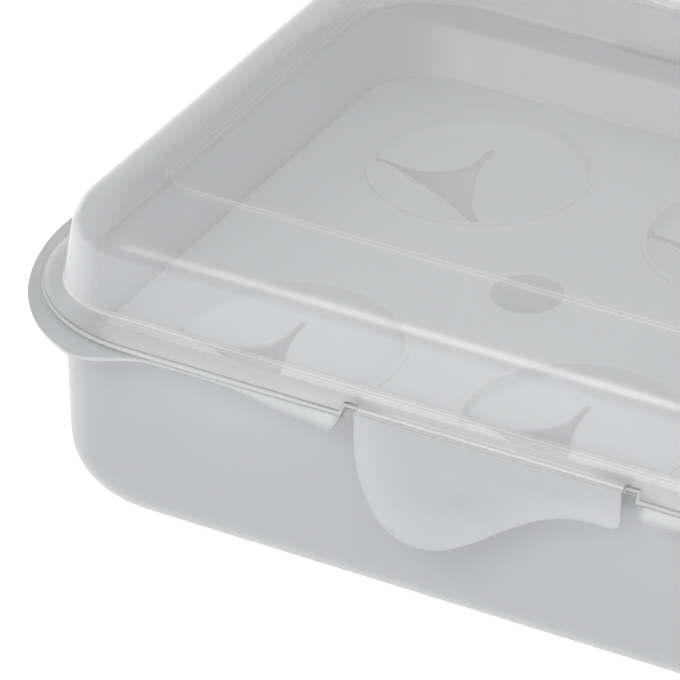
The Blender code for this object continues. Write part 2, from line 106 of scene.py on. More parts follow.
class EggBoxSizes(bpy.types.PropertyGroup):
    half_length: length("Half length", 0.0955, "Half the box's length at the foot of the lid's dome")
    half_depth: length("Half depth", 0.0680, "Half the box's depth at the foot of the lid's dome")
    rim: length("Rim height", 0.0468, "Height of the foot of the lid's dome")
    wall: length("Wall", 0.0009, "Thickness of the moulded walls")
    body_corner: length("Body corner", 0.0160, "Plan radius of the tub's and the dome's corners")
    tub_draft: length("Tub draft", 0.0008, "How far the tub's foot stands in from its rim")
    tub_bottom: length("Bottom radius", 0.0141, "Inner radius between the tub's walls and floor")
    tub_heel: length("Heel corner", 0.0150, "Plan radius of the tub's corners at the foot")
    tub_floor: length("Floor corner", 0.0085, "Plan radius of the floor's corners")
    crest_drop: length("Crest drop", 0.0010, "How far the tub's crest lies under the dome's foot")
    lid_flange: length("Lid flange", 0.0035, "Width of the lid's flange along the front")
    lid_grip: length("Lid end flange", 0.0073, "Width of the lid's flange along the ends")
    lid_drop: length("Lid flange drop", 0.0029, "How far the lid's flange slopes down")
    lid_corner: length("Lid flange corner", 0.0280, "Plan radius of the lid's flange")
    stack: length("Flange stack", 0.00148, "Height from the lid's edge down to the tub's flange")
    tub_flange: length("Tub flange", 0.00375, "Width of the tub's flange along the front")
    tub_flange_drop: length("Tub flange drop", 0.0046, "Drop of the tub's flange along the front")
    tub_grip: length("Tub end grip", 0.0125, "Width of the tub's grip along the ends")
    tub_grip_drop: length("Tub grip drop", 0.0054, "Drop of the tub's grip along the ends")
    tub_corner: length("Tub flange corner", 0.0360, "Plan radius of the tub's flange")
    ear_bulge: length("Ear bulge", 0.0050, "How far the front corners of the tub's flange bulge")
    ear_inner: length("Ear start", 0.0700, "Where the corner bulge starts, from the middle")
    ear_outer: length("Ear end", 0.0840, "Where the corner bulge is full, from the middle")
    lip_outset: length("Lip outset", 0.0054, "How far the lips beside the clasp stand out")
    lip_drop: length("Lip drop", 0.0069, "How far the lips beside the clasp hang down")
    lip_far: length("Lip start", 0.0570, "Where the lips start, from the middle")
    lip_round: length("Lip end radius", 0.0022, "Radius of the lips' ends")
    notch: length("Clasp notch", 0.0020, "Outset of the tub's flange behind the clasp")
    dome_draft: length("Dome draft", 0.0011, "How far the dome's wall leans in")
    dome_edge: length("Dome edge height", 0.0142, "Height of the dome's edge over its foot")
    dome_radius: length("Dome edge radius", 0.0055, "Radius of the dome's edge")
    dome_corner: length("Dome corner", 0.0180, "Plan radius of the dome's edge")
    panel_inset: length("Panel inset", 0.0160, "Distance of the flat panel from the dome's foot line")
    panel_foot: length("Panel foot", 0.0196, "Height of the foot of the panel's step")
    panel_top: length("Panel height", 0.0204, "Height of the flat panel over the dome's foot")
    panel_step: length("Panel step", 0.0005, "Width of the small step round the panel")
    panel_corner: length("Panel corner", 0.0075, "Plan radius of the panel's corners")
    clasp_half: length("Clasp half width", 0.0265, "Half the clasp's width")
    clasp_slot: length("Clasp slot", 0.0029, "Gap at each side of the clasp")
    clasp_face: length("Clasp face", 0.0031, "Outset of the clasp's inner face")
    clasp_top: length("Clasp top", 0.0025, "Drop of the clasp's top edge")
    clasp_side: length("Clasp side", 0.0083, "Drop of the clasp's straight left side")
    lobe_x: length("Lobe place", 0.0135, "How far left of the middle the lobe hangs")
    lobe_drop: length("Lobe drop", 0.0262, "Drop of the lobe's lowest point")
    tail_x: length("Tail place", 0.0205, "Where the tail's flat edge starts, right of the middle")
    tail_drop: length("Tail drop", 0.0105, "Drop of the tail's edge")
    clasp_corner: length("Clasp corner", 0.0022, "Radius of the tail's corner")
    clasp_flare: length("Lobe flare", 0.0008, "How far the lobe curls outwards")
    clasp_flare_drop: length("Flare start", 0.0140, "Drop where the lobe starts to curl")
    clasp_edge: length("Film seat", 0.00285, "Outset of the lid's edge behind the clasp")
    relief: length("Relief notch", 0.0021, "Outset of the small notches beside the clasp")
    tray_drop: length("Tray drop", 0.0165, "Drop of the tray's deck under the dome's foot")
    tray_play: length("Tray play", 0.0005, "Gap between the tray and the tub's wall")
    tray_edge: length("Tray edge radius", 0.0015, "Radius of the deck's edge")
    tray_skirt: length("Tray skirt", 0.0060, "Height of the tray's skirt")
    pitch_x: length("Cup pitch along", 0.0595, "Distance between cups along the box")
    pitch_y: length("Cup pitch across", 0.0740, "Distance between cups across the box")
    cup_radius: length("Cup radius", 0.0222, "Outer radius of a cup's collar")
    cup_lip: length("Cup lip", 0.0005, "Height of a cup's lip over the deck")
    cup_collar: length("Cup collar", 0.0014, "Depth of a cup's upright collar")
    cup_fillet: length("Cup turn", 0.0022, "Radius of the turn under the collar")
    cup_sag: length("Cup sag", 0.0032, "How far the petals sag to the middle")
    star_x: length("Gap centre along", 0.0063, "How far left of the cup's middle the petals meet")
    star_y: length("Gap centre across", 0.0005, "How far in front of the cup's middle the petals meet")
    star_rear: length("Rear arm", 0.0135, "Reach of the gap's rear arm")
    star_left: length("Left arm", 0.0152, "Reach of the gap's left arm")
    star_front: length("Front arm", 0.0245, "Reach of the gap's front arm")
    star_waist: length("Gap waist", 0.0050, "Distance of the petals' tips from the gap's centre")
    star_tip: length("Gap tip", 0.0018, "Width of the gap's arms at their ends")
    pillar_top: length("Pillar top radius", 0.0080, "Radius of the hollow pillars at the deck")
    pillar_foot: length("Pillar foot radius", 0.0058, "Radius of the hollow pillars at the foot")
    foot_gap: length("Foot gap", 0.0003, "Gap under the pillars' feet")
    hinge_outset: length("Hinge outset", 0.0055, "Outset of the rear film hinge")
    hinge_x: length("Hinge place", 0.0320, "Distance of the rear films from the middle")
    hinge_half: length("Hinge half width", 0.0160, "Half the width of each rear film")
    hinge_leaf: length("Hinge leaf", 0.00075, "Thickness of the rear hinge's leaves")
    hinge_gap: length("Hinge gap", 0.00015, "Gap between each leaf and the rear hinge's axis")
    hinge_lid: length("Lid leaf drop", 0.0027, "Drop of the lid's rear leaves")
    hinge_tub: length("Tub leaf drop", 0.0043, "Drop of the tub's rear leaves")
    edge: length("Edge", 0.0002, "Radius of the mouldings' rounded edges")
    film: length("Film", 0.0003, "Thickness of the hinge films")
    bead: length("Petal bead", 0.00035, "Radius of the bead round each petal's edge")
    # The pale lines are painted highlights at the dome's foot and along the lid's edge over the clasp.
    line: length("Pale line", 0.0003, "Half the width of the pale lines at the dome's foot and over the clasp")
    catch_drop: length("Catch drop", 0.0066, "Drop of the clasp's catch rib")
    catch_height: length("Catch height", 0.0012, "Height of the clasp's catch rib")
    catch_reach: length("Catch reach", 0.0006, "How far the catch rib reaches inwards")
    catch_half: length("Catch half width", 0.0190, "Half the width of the catch rib")
    gusset: length("Gusset", 0.0036, "Size of the small rib inside the clasp's lobe")
    gusset_x: length("Gusset place", 0.0066, "How far left of the middle the small rib is")
    gusset_drop: length("Gusset drop", 0.0164, "Drop of the small rib's foot")
    floor_drop: length("Floor drop", 0.0003, "How far the studio floor lies under the box")


class EggBoxColours(bpy.types.PropertyGroup):
    # The lid, clasp, tub and tray are one milky plastic; their different tones are painted light and shade.
    plastic: colour("Lid", (0.52, 0.524, 0.53), "Milky colour of the lid")
    # The clasp is the lid's plastic; its darker tone is painted shade, matching the tub wall in the flange's
    # shadow.
    clasp: colour("Clasp", (0.455, 0.459, 0.465), "Milky colour of the clasp")
    # The tub is the lid's plastic; its darker tone is painted shade that offsets the light from the bright floor
    # below.
    tub: colour("Tub", (0.415, 0.419, 0.425), "Milky colour of the tub")
    # The tray's pale tone is painted light that makes up for the shade under the closed lid.
    tray: colour("Tray", (0.90, 0.905, 0.91), "Milky colour of the egg tray")
    # The bead colour is paler than the lid's: a painted highlight on the lid's edge bead and on the line at the
    # dome's foot.
    bead: colour("Bead", (0.60, 0.604, 0.61), "Pale colour of the lid's edge bead and foot line")
    floor: colour("Floor", (0.92, 0.92, 0.93), "Colour of the studio floor")
    lid_haze: factor("Lid haze", 0.37, "How much the lid hides of what is behind it")
    end_haze: factor("Lid end haze", 0.72, "How much the lid's ends and rear hide of what is behind them")
    tub_haze: factor("Tub haze", 0.62, "How much the tub's wall hides of what is behind it")
    flange_haze: factor("Tub flange haze", 0.86, "How much the tub's thicker flange hides of what is behind it")
    tray_haze: factor("Tray haze", 0.74, "How much the tray hides of what is behind it")
    # The bead haze also serves the painted highlight line at the dome's foot; the edge haze serves the painted
    # highlight line over the clasp.
    bead_haze: factor("Bead haze", 0.55, "How much the lid's bead and foot line hide of what is behind them")
    edge_haze: factor("Edge haze", 0.6, "Haze of the pale line along the lid's edge over the clasp")
    clasp_haze: factor("Clasp haze", 0.56, "How much the clasp hides of what is behind it")
    rib_haze: factor("Rib haze", 0.25, "How much the clasp's catch rib hides of what is behind it")


def sizes():
    return bpy.context.scene.egg_box_sizes


def colours():
    return bpy.context.scene.egg_box_colours


def ease(value, start, end):
    share = min(max((value - start) / (end - start), 0.0), 1.0)
    return share * share * (3 - 2 * share)


def rounded(sections, radii, steps):
    """The profile with its inner corners turned into arcs; a radius of 0 keeps a corner sharp."""
    points = [Vector(section) for section in sections]
    out = [points[0]]
    for before, corner, after, radius in zip(points, points[1:], points[2:], radii):
        if radius == 0:
            out.append(corner)
            continue
        into = Vector((before[1] - corner[1], before[2] - corner[2]))
        away = Vector((after[1] - corner[1], after[2] - corner[2]))
        half_turn = (math.pi - into.angle(away)) / 2
        reach = radius * math.tan(half_turn)
        start = corner.lerp(before, reach / into.length)
        end = corner.lerp(after, reach / away.length)
        weight = math.cos(half_turn)
        for step in range(steps + 1):
            t = step / steps
            shares = ((1 - t) ** 2, 2 * t * (1 - t) * weight, t**2)
            out.append((start * shares[0] + corner * shares[1] + end * shares[2]) / sum(shares))
    out.append(points[-1])
    return out


def plan_ring(section, shares):
    """A rounded rectangle, anticlockwise from the front left; the shares place points along front and back."""
    size = sizes()
    out_x, out_y, height, radius = section
    half_x = size.half_length + out_x
    half_y = size.half_depth + out_y
    centre = Vector((half_x - radius, half_y - radius, height))
    ring = [Vector((share * centre.x, -half_y, height)) for share in shares]
    for quarter in range(4):
        if quarter == 2:
            ring += [Vector((-share * centre.x, half_y, height)) for share in shares]
        sign_x = (1, 1, -1, -1)[quarter]
        sign_y = (-1, 1, 1, -1)[quarter]
        for step in range(CORNER_STEPS + 1):
            angle = math.pi / 2 * (quarter - 1 + step / CORNER_STEPS)
            x = sign_x * centre.x + radius * math.cos(angle)
            y = sign_y * centre.y + radius * math.sin(angle)
            ring.append(Vector((x, y, height)))
    return ring


def skin(rings, cap=True):
    """An open surface: the first ring extruded through the others, closed over the last one, facing up."""
    bm = bmesh.new()
    station = bm.verts.layers.int.new("station")
    verts = [bm.verts.new(point) for point in rings[0]]
    for index, vert in enumerate(verts):
        vert[station] = index
    edges = [bm.edges.new(pair) for pair in zip(verts, verts[1:] + verts[:1])]
    for ring in rings[1:]:
        made = bmesh.ops.extrude_edge_only(bm, edges=edges)["geom"]
        fresh = {item for item in made if isinstance(item, bmesh.types.BMVert)}
        for vert in fresh:
            vert.co = ring[vert[station]]
        edges = [e for e in made if isinstance(e, bmesh.types.BMEdge) and set(e.verts) <= fresh]
    if cap:
        bmesh.ops.contextual_create(bm, geom=edges)
    bmesh.ops.recalc_face_normals(bm, faces=bm.faces)
    upward = sum(face.normal.z * face.calc_area() for face in bm.faces)
    if upward < 0:
        bmesh.ops.reverse_faces(bm, faces=bm.faces)
    return bm


def piece(name, bm):
    mesh = bpy.data.meshes.new(name)
    bm.to_mesh(mesh)
    bm.free()
    obj = bpy.data.objects.new(name, mesh)
    bpy.context.scene.collection.objects.link(obj)
    return obj


def thicken(obj):
    """Gives an open surface the thickness of the wall, downwards."""
    solid = obj.modifiers.new("wall", "SOLIDIFY")
    solid.thickness = sizes().wall
    solid.offset = -1
    solid.use_even_offset = True


def round_edges(obj, width):
    bevel = obj.modifiers.new("edge", "BEVEL")
    bevel.width = width
    bevel.segments = 3
    bevel.limit_method = "ANGLE"
    bevel.angle_limit = EDGE_ANGLE


def settle(obj):
    """Turns the object's modifiers into its mesh, shades it smooth and keeps its sharp edges."""
    graph = bpy.context.evaluated_depsgraph_get()
    graph.update()
    mesh = bpy.data.meshes.new_from_object(obj.evaluated_get(graph))
    obj.modifiers.clear()
    obj.data = mesh
    mesh.shade_smooth()
    mesh.set_sharp_from_angle(angle=SHARP_ANGLE)
    return obj


def finish_piece(obj, body, material, slot, *nodes):
    obj.data.materials.clear()
    obj.data.materials.append(material)
    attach(obj, body)
    if nodes:
        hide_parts(*nodes)
    return obj


def boolean(obj, operation, other):
    cut = obj.modifiers.new(operation.lower(), "BOOLEAN")
    cut.operation = operation
    cut.solver = "MANIFOLD"
    cut.object = other


def drop(*objs):
    for obj in objs:
        bpy.data.objects.remove(obj)


def ramp(nodes, link, source, start, end, low, high):
    """A smooth change from low to high as the source goes from start to end."""
    change = nodes.new("ShaderNodeMapRange")
    change.interpolation_type = "SMOOTHSTEP"
    for name, value in (("From Min", start), ("From Max", end), ("To Min", low), ("To Max", high)):
        change.inputs[name].default_value = value
    link(source, change.inputs["Value"])
    return change.outputs["Result"]


def joined(nodes, link, operation, *sources):
    """The result of a sum, product, maximum or absolute value of its sources."""
    node = nodes.new("ShaderNodeMath")
    node.operation = operation
    for slot, source in zip(node.inputs, sources):
        link(source, slot)
    return node.outputs["Value"]


def milky(name, base, haze, roughness=0.4, bump=0.0, changes=(), lines=()):
    """Milky translucent plastic with a faint moulded texture.

    Each change of haze is (axis, start, end, haze), where the plastic is thicker: along X it counts both ways from
    the middle. Each line is (height, width, haze, pale, reach) of a painted highlight line round the piece, paler
    and hazier than the plastic, or only along its front as far as its reach on both sides of the middle.
    """
    material = bpy.data.materials.new(name)
    material.use_nodes = True
    material.use_backface_culling = False
    nodes = material.node_tree.nodes
    link = material.node_tree.links.new
    shader = nodes["Principled BSDF"]
    place = nodes.new("ShaderNodeTexCoord")
    cloud = nodes.new("ShaderNodeTexNoise")
    cloud.inputs["Scale"].default_value = CLOUD_SCALE
    cloud.inputs["Detail"].default_value = 3.0
    link(place.outputs["Object"], cloud.inputs["Vector"])
    tint = nodes.new("ShaderNodeValToRGB")
    tint.color_ramp.elements[0].position = 0.3
    tint.color_ramp.elements[0].color = (*[channel * CLOUD_DARK for channel in base], 1)
    tint.color_ramp.elements[1].position = 0.7
    tint.color_ramp.elements[1].color = (*base, 1)
    link(cloud.outputs["Fac"], tint.inputs["Fac"])
    gloss = nodes.new("ShaderNodeMapRange")
    gloss.inputs["To Min"].default_value = roughness * CLOUD_GLOSS[0]
    gloss.inputs["To Max"].default_value = roughness * CLOUD_GLOSS[1]
    link(cloud.outputs["Fac"], gloss.inputs["Value"])
    link(gloss.outputs["Result"], shader.inputs["Roughness"])
    grain = nodes.new("ShaderNodeTexNoise")
    grain.inputs["Scale"].default_value = GRAIN_SCALE
    grain.inputs["Detail"].default_value = 2.0
    link(place.outputs["Object"], grain.inputs["Vector"])
    relief = nodes.new("ShaderNodeBump")
    relief.inputs["Strength"].default_value = bump
    relief.inputs["Distance"].default_value = GRAIN_DEPTH
    link(grain.outputs["Fac"], relief.inputs["Height"])
    link(relief.outputs["Normal"], shader.inputs["Normal"])
    shader.inputs["IOR"].default_value = PLASTIC_IOR
    shader.inputs["Specular IOR Level"].default_value = 1.0
    shader.inputs["Alpha"].default_value = haze
    split = nodes.new("ShaderNodeSeparateXYZ")
    link(place.outputs["Object"], split.inputs["Vector"])
    veils = []
    for axis, start, end, last in changes:
        reach = split.outputs[axis]
        if axis == "X":
            reach = joined(nodes, link, "ABSOLUTE", reach)
        veils.append(ramp(nodes, link, reach, start, end, haze, last))
    tone = tint.outputs["Color"]
    # Each line is a painted highlight: its band is mixed towards the pale colour and made hazier.
    for height, width, dense_haze, pale, reach in lines:
        rise = ramp(nodes, link, split.outputs["Z"], height - width, height, 0, 1)
        fall = ramp(nodes, link, split.outputs["Z"], height, height + width, 1, 0)
        line = joined(nodes, link, "MULTIPLY", rise, fall)
        if reach:
            along = joined(nodes, link, "ABSOLUTE", split.outputs["X"])
            inside = ramp(nodes, link, along, reach - width, reach, 1, 0)
            front = ramp(nodes, link, split.outputs["Y"], -width, width, 1, 0)
            line = joined(nodes, link, "MULTIPLY", line, joined(nodes, link, "MULTIPLY", inside, front))
        veils.append(ramp(nodes, link, line, 0, 1, haze, dense_haze))
        mix = nodes.new("ShaderNodeMix")
        mix.data_type = "RGBA"
        mix.inputs["B"].default_value = (pale, pale, pale, 1)
        link(line, mix.inputs["Factor"])
        link(tone, mix.inputs["A"])
        tone = mix.outputs["Result"]
    link(tone, shader.inputs["Base Color"])
    while len(veils) > 1:
        veils.append(joined(nodes, link, "MAXIMUM", veils.pop(), veils.pop()))
    if veils:
        link(veils[0], shader.inputs["Alpha"])
    return material


def lid_slope(outset):
    """Height of the lid's sloping flange at a distance from the dome's foot."""
    size = sizes()
    return size.rim - size.lid_drop * outset / size.lid_flange


def lid_front_outset(x):
    """Outset of the lid's edge at a place along its front: cut back for the clasp's film and its notches."""
    size = sizes()
    reach = abs(x)
    if reach < size.clasp_half:
        return size.clasp_edge
    if reach < size.clasp_half + size.clasp_slot:
        return size.relief
    return size.lid_flange


def front_shares(places, straight):
    half = sorted(places)
    return [-x / straight for x in reversed(half)] + [x / straight for x in half]


def lid_shares():
    size = sizes()
    hair = size.wall / 6
    slot = size.clasp_half + size.clasp_slot
    places = [size.clasp_half - hair, size.clasp_half + hair, slot - hair, slot + hair, *LID_POINTS]
    straight = size.half_length + size.lid_grip - size.lid_corner
    return front_shares(places, straight)


def lid_rings():
    size = sizes()
    rim = size.rim
    shares = lid_shares()
    edge = plan_ring((size.lid_grip, size.lid_flange, rim - size.lid_drop, size.lid_corner), shares)
    for point in edge[: len(shares)]:
        outset = lid_front_outset(point.x)
        point.y = -size.half_depth - outset
        point.z = lid_slope(outset)
    row_share = size.relief / size.lid_flange * 0.92
    row = (
        size.lid_grip * row_share,
        size.lid_flange * row_share,
        rim - size.lid_drop * row_share,
        size.body_corner + (size.lid_corner - size.body_corner) * row_share,
    )
    top = rim + size.panel_top
    inset = size.panel_inset + size.panel_step
    sections = [
        row,
        (0.0, 0.0, rim, size.body_corner),
        (-size.dome_draft, -size.dome_draft, rim + size.dome_edge, size.dome_corner),
        (-size.panel_inset, -size.panel_inset, rim + size.panel_foot, size.panel_corner),
        (-inset, -inset, top, size.panel_corner - size.panel_step),
        (-size.panel_inset * 2, -size.panel_inset * 2, top, size.panel_corner / 2),
    ]
    foot_round, step_round, panel_round = 0.0007, 0.0006, 0.0003
    profile = rounded(sections, (foot_round, size.dome_radius, step_round, panel_round), 7)
    return [edge] + [plan_ring(section, shares) for section in profile]


def lip_profile(x):
    """Outset and drop of the tub flange's front edge: raised to a lip beside the clasp, cut back behind it."""
    size = sizes()
    lip_end = size.clasp_half + size.clasp_slot
    reach = abs(x)
    lip = ease(reach, size.lip_far, lip_end)
    outset = size.tub_flange + (size.lip_outset - size.tub_flange) * lip
    fall = size.tub_flange_drop + (size.lip_drop - size.tub_flange_drop) * lip
    into_end = min(max(lip_end + size.lip_round - reach, 0.0), size.lip_round)
    trim = 1 - math.sqrt(max(1 - (into_end / size.lip_round) ** 2, 0.0))
    slope = (size.lid_drop + size.stack - size.crest_drop) / (size.lid_flange + size.wall)
    notch_fall = size.crest_drop + slope * (size.notch + size.wall)
    return outset + (size.notch - outset) * trim, fall + (notch_fall - fall) * trim


def tub_shares():
    size = sizes()
    lip_end = size.clasp_half + size.clasp_slot
    places = [*TUB_POINTS, lip_end - size.wall / 3]
    places += [lip_end + size.lip_round * share for share in LIP_SHARES]
    run = size.lip_far - lip_end - size.lip_round
    places += [lip_end + size.lip_round + run * step / 9 for step in range(1, 10)]
    places += [(size.lip_far + size.ear_inner) / 2, size.ear_inner * 0.99]
    straight = size.half_length + size.tub_grip - size.tub_corner
    return front_shares(places, straight)


def tub_rings():
    size = sizes()
    shares = tub_shares()
    edge = plan_ring((size.tub_grip, size.tub_flange, 0.0, size.tub_corner), shares)
    seat_drop = size.lid_drop + size.stack
    row = plan_ring((size.lid_grip, size.lid_flange, size.rim - seat_drop, size.lid_corner), shares)
    side_y = size.half_depth + size.tub_flange
    slope = (seat_drop - size.crest_drop) / (size.lid_flange + size.wall)
    for index, (point, inner) in enumerate(zip(edge, row)):
        end_share = ease(side_y - abs(point.y), 0.0, size.tub_corner)
        fall = size.tub_flange_drop + (size.tub_grip_drop - size.tub_flange_drop) * end_share
        if index < len(shares):
            outset, fall = lip_profile(point.x)
            point.y = -size.half_depth - outset
            limit = min(size.lid_flange, outset - size.wall / 30)
            inner.y = -size.half_depth - limit
            inner.z = size.rim - size.crest_drop - slope * (limit + size.wall)
        if point.y < 0:
            ear = ease(abs(point.x), size.ear_inner, size.ear_outer) * (1 - end_share)
            point.y -= size.ear_bulge * ear
            fall += (size.tub_grip_drop - size.tub_flange_drop) * ear
        point.z = size.rim - fall
    heel = -size.wall - size.tub_draft
    row_share = (size.notch * 0.93 + size.wall) / (size.lid_flange + size.wall)
    inner_row = (
        -size.wall + (size.lid_grip + size.wall) * row_share,
        -size.wall + (size.lid_flange + size.wall) * row_share,
        size.rim - size.crest_drop - (seat_drop - size.crest_drop) * row_share,
        size.body_corner - size.wall + (size.lid_corner - size.body_corner + size.wall) * row_share,
    )
    sections = [
        inner_row,
        (-size.wall, -size.wall, size.rim - size.crest_drop, size.body_corner - size.wall),
        (heel, heel, size.wall, size.tub_heel),
        (heel - size.tub_bottom, heel - size.tub_bottom, size.wall, size.tub_floor),
    ]
    crest_round = 0.0008
    profile = rounded(sections, (crest_round, size.tub_bottom * 0.999), 12)
    return [edge, row] + [plan_ring(section, shares) for section in profile]


def traced(curve):
    """The mesh that a curve draws."""
    guide = bpy.data.objects.new("guide", curve)
    bpy.context.scene.collection.objects.link(guide)
    graph = bpy.context.evaluated_depsgraph_get()
    mesh = bpy.data.meshes.new_from_object(guide.evaluated_get(graph))
    bpy.data.objects.remove(guide)
    bm = bmesh.new()
    bm.from_mesh(mesh)
    bpy.data.meshes.remove(mesh)
    return bm


def drawn_out(bm, reach):
    """Extrudes the mesh's face by a vector, to a closed solid."""
    made = bmesh.ops.extrude_face_region(bm, geom=list(bm.faces))["geom"]
    lifted = [item for item in made if isinstance(item, bmesh.types.BMVert)]
    bmesh.ops.translate(bm, verts=lifted, vec=reach)
    bmesh.ops.recalc_face_normals(bm, faces=bm.faces)
    return bm


def bezier_prism(name, knots, depth, steps=12):
    """A closed outline of (point, handle before, handle after) knots in XY, drawn upwards to a depth."""
    curve = bpy.data.curves.new(name, "CURVE")
    curve.dimensions = "2D"
    curve.fill_mode = "NONE"
    curve.resolution_u = steps
    spline = curve.splines.new("BEZIER")
    spline.bezier_points.add(len(knots) - 1)
    spline.use_cyclic_u = True
    for knot, (point, before, after) in zip(spline.bezier_points, knots):
        knot.co = (*point, 0)
        knot.handle_left = (*before, 0)
        knot.handle_right = (*after, 0)
    bm = traced(curve)
    bmesh.ops.remove_doubles(bm, verts=bm.verts, dist=0.00002)
    bmesh.ops.contextual_create(bm, geom=bm.edges)
    return drawn_out(bm, (0, 0, depth))


def clasp_knots():
    """The clasp from the front: a deep round lobe on the left and a short tail on the right.

    The bare shares set how far the curve's handles reach.
    """
    size = sizes()
    half = size.clasp_half
    top = -size.clasp_top
    side = -size.clasp_side
    tail = -size.tail_drop
    lobe = -size.lobe_drop
    lobe_x = -size.lobe_x
    lobe_left = (lobe_x + half) * 0.8
    lobe_right = (size.tail_x - lobe_x) * 0.33
    tail_left = (size.tail_x - lobe_x) * 0.39
    turn = size.clasp_corner
    corner = half - turn
    soft = turn * 0.3
    return [
        ((half, top), (half, top), (half, top)),
        ((-half + soft, top), (-half + soft, top), (-half + soft * 0.5, top)),
        ((-half, top - soft), (-half, top - soft * 0.5), (-half, top - soft)),
        ((-half, side), (-half, side), (-half, side + (lobe - side) * 0.33)),
        ((lobe_x, lobe), (lobe_x - lobe_left, lobe), (lobe_x + lobe_right, lobe)),
        ((size.tail_x, tail), (size.tail_x - tail_left, tail), (size.tail_x, tail)),
        ((corner, tail), (corner, tail), (corner + turn * 0.55, tail)),
        ((half, tail + turn), (half, tail + turn * 0.45), (half, tail + turn)),
    ]


def star_knots():
    """A three-armed gap between three round petals. The bare shares set how far the curve's handles reach."""
    size = sizes()
    centre = Vector((-size.star_x, -size.star_y))
    arms = ((82, size.star_rear), (189, size.star_left), (315, size.star_front))  # direction in degrees, and reach
    knots = []
    for (degrees, reach), (next_degrees, _) in zip(arms, arms[1:] + arms[:1]):
        along = Vector((math.cos(math.radians(degrees)), math.sin(math.radians(degrees))))
        side = Vector((-along.y, along.x)) * size.star_tip / 2
        tip = centre + along * reach
        inward = -along * reach * 0.45
        knots.append((tip - side, tip - side + inward, tip - side + along * size.star_tip * 0.6))
        knots.append((tip + side, tip + side + along * size.star_tip * 0.6, tip + side + inward))
        between = math.radians(degrees + (next_degrees - degrees) % 360 / 2)
        out = Vector((math.cos(between), math.sin(between)))
        waist = centre + out * size.star_waist
        across = Vector((-out.y, out.x)) * size.star_waist
        knots.append((waist, waist - across, waist + across))
    return [tuple((v.x, v.y) for v in knot) for knot in knots]


def turned(profile, steps):
    """A closed solid spun about Z from a profile of (radius, height) points that starts and ends on the axis."""
    bm = bmesh.new()
    verts = [bm.verts.new((radius, 0, height)) for radius, height in profile]
    edges = [bm.edges.new(pair) for pair in zip(verts, verts[1:])]
    bmesh.ops.spin(
        bm, geom=verts + edges, axis=(0, 0, 1), cent=(0, 0, 0), angle=math.tau, steps=steps, use_merge=True
    )
    bmesh.ops.remove_doubles(bm, verts=bm.verts, dist=0.00001)
    bmesh.ops.recalc_face_normals(bm, faces=bm.faces)
    return bm


def cup_profile(inset, top):
    size = sizes()
    radius = size.cup_radius - inset
    fillet = size.cup_fillet - inset
    profile = [(0.0, top), (radius, top), (radius, -size.cup_collar)]
    for step in range(1, 7):
        angle = math.pi / 12 * step
        profile.append((radius - fillet * (1 - math.cos(angle)), -size.cup_collar - fillet * math.sin(angle)))
    foot = -size.cup_collar - fillet
    span = radius - fillet
    for share in (0.25, 0.5, 0.75, 1.0):
        profile.append((span * (1 - share), foot - size.cup_sag * math.sin(share * math.pi / 2)))
    return profile


def pillar_profile(inset, top):
    size = sizes()
    foot = size.rim - size.tray_drop - size.wall - size.foot_gap - inset
    return [(0.0, top), (size.pillar_top - inset, top), (size.pillar_foot - inset, -foot), (0.0, -foot)]


def deck_height():
    return sizes().rim - sizes().tray_drop


def cup_places():
    size = sizes()
    deck = deck_height()
    return [(column * size.pitch_x, (row - 0.5) * size.pitch_y, deck) for row in (0, 1) for column in (-1, 0, 1)]


def pillar_places():
    return [(side * sizes().pitch_x / 2, 0.0, deck_height()) for side in (-1, 1)]


def dish_height(radius):
    """Height of a dish's upper face over the deck, at a distance from the cup's middle."""
    size = sizes()
    span = size.cup_radius - size.cup_fillet
    share = 1 - min(radius, span) / span
    return -size.cup_collar - size.cup_fillet + size.wall - size.cup_sag * math.sin(share * math.pi / 2)


def petal_bead():
    """A thin bead along the edges of the petals, lying on the dish."""
    outline = bezier_prism("bead", star_knots(), 0.001, 10)
    low = [edge for edge in outline.edges if all(abs(vert.co.z) < 1e-7 for vert in edge.verts)]
    walk = [low[0].verts[0], low[0].verts[1]]
    linked = {vert: [e.other_vert(vert) for e in low if vert in e.verts] for edge in low for vert in edge.verts}
    while len(walk) < len(linked):
        walk.append(next(vert for vert in linked[walk[-1]] if vert is not walk[-2]))
    path = [Vector((vert.co.x, vert.co.y, dish_height(vert.co.xy.length))) for vert in walk]
    outline.free()
    return tube(path, sizes().bead)


def tube(path, radius):
    """A round bead along a closed path of points."""
    curve = bpy.data.curves.new("bead", "CURVE")
    curve.dimensions = "3D"
    curve.bevel_depth = radius
    curve.bevel_resolution = 2
    spline = curve.splines.new("POLY")
    spline.points.add(len(path) - 1)
    spline.use_cyclic_u = True
    for point, place in zip(spline.points, path):
        point.co = (*place, 1)
    bm = traced(curve)
    bmesh.ops.recalc_face_normals(bm, faces=bm.faces)
    return bm


def bar(bm, low, high):
    """A box between two corners, added to the mesh."""
    span = Vector(high) - Vector(low)
    middle = (Vector(high) + Vector(low)) / 2
    bmesh.ops.create_cube(bm, size=1, matrix=Matrix.Translation(middle) @ Matrix.Diagonal((*span, 1)))


def softened(name, bm, width):
    """The shape with its edges rounded off."""
    obj = piece(name, bm)
    round_edges(obj, width)
    return settle(obj)


def shell(name, rings):
    """A moulding of the wall's thickness that lies under a surface through the rings, with rounded edges."""
    obj = piece(name, skin(rings))
    thicken(obj)
    round_edges(obj, sizes().edge)
    return settle(obj)


def hinge_spans():
    """Start and end in X of each of the two rear hinges."""
    size = sizes()
    return [(side * size.hinge_x - size.hinge_half, side * size.hinge_x + size.hinge_half) for side in (-1, 1)]


def leaves(name, fall, flange):
    """A pair of leaves at the back that carry one side of the film hinge."""
    size = sizes()
    bm = bmesh.new()
    top = size.rim - fall
    front = size.half_depth + flange - size.hinge_leaf
    back = size.half_depth + size.hinge_outset - size.hinge_gap
    for start, end in hinge_spans():
        bar(bm, (start, front, top - size.hinge_leaf), (end, back, top))
    return softened(name, bm, size.film / 2)


